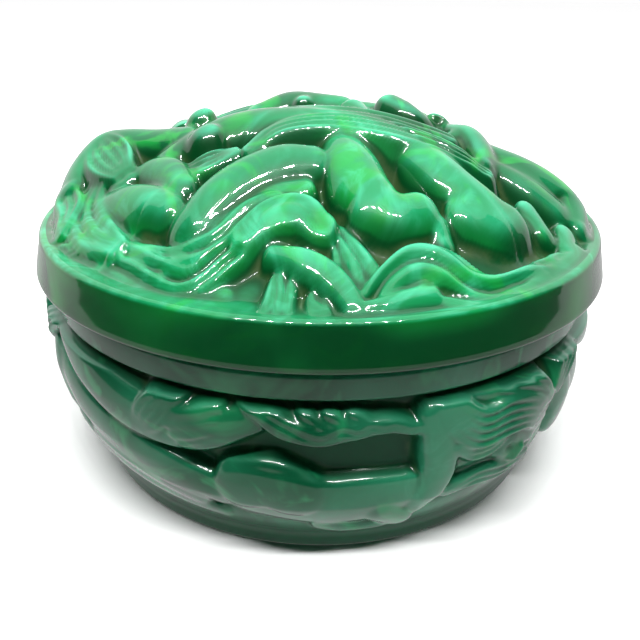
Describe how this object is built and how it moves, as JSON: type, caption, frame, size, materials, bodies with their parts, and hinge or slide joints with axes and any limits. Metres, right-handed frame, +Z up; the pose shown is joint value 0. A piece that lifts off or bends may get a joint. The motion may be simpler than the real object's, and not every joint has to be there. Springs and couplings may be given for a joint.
{
  "type": "powder jar",
  "caption": "Covered powder jar of thick marbled green pressed glass: a round relief-moulded bowl on a plain foot, with a domed relief-moulded lid that lifts off.",
  "frame": {"origin": "centre of the foot's underside, on the table", "axes": "+Z up through the lid, front of the jar faces -Y, +X to the viewer's right"},
  "size_m": [0.12, 0.12, 0.0742],
  "materials": {
    "bowl_glass": "opaque marbled malachite-green pressed glass, fire-polished",
    "lid_glass": "opaque marbled malachite-green pressed glass, fire-polished"
  },
  "bodies": {
    "bowl": {"bowl": "bowl_glass"},
    "lid": {"lid": "lid_glass"}
  },
  "joints": [
    {"name": "lid_lift", "type": "slide", "parent": "bowl", "child": "lid", "axis": [0, 0, 1], "range_m": [0, 0.06]}
  ]
}
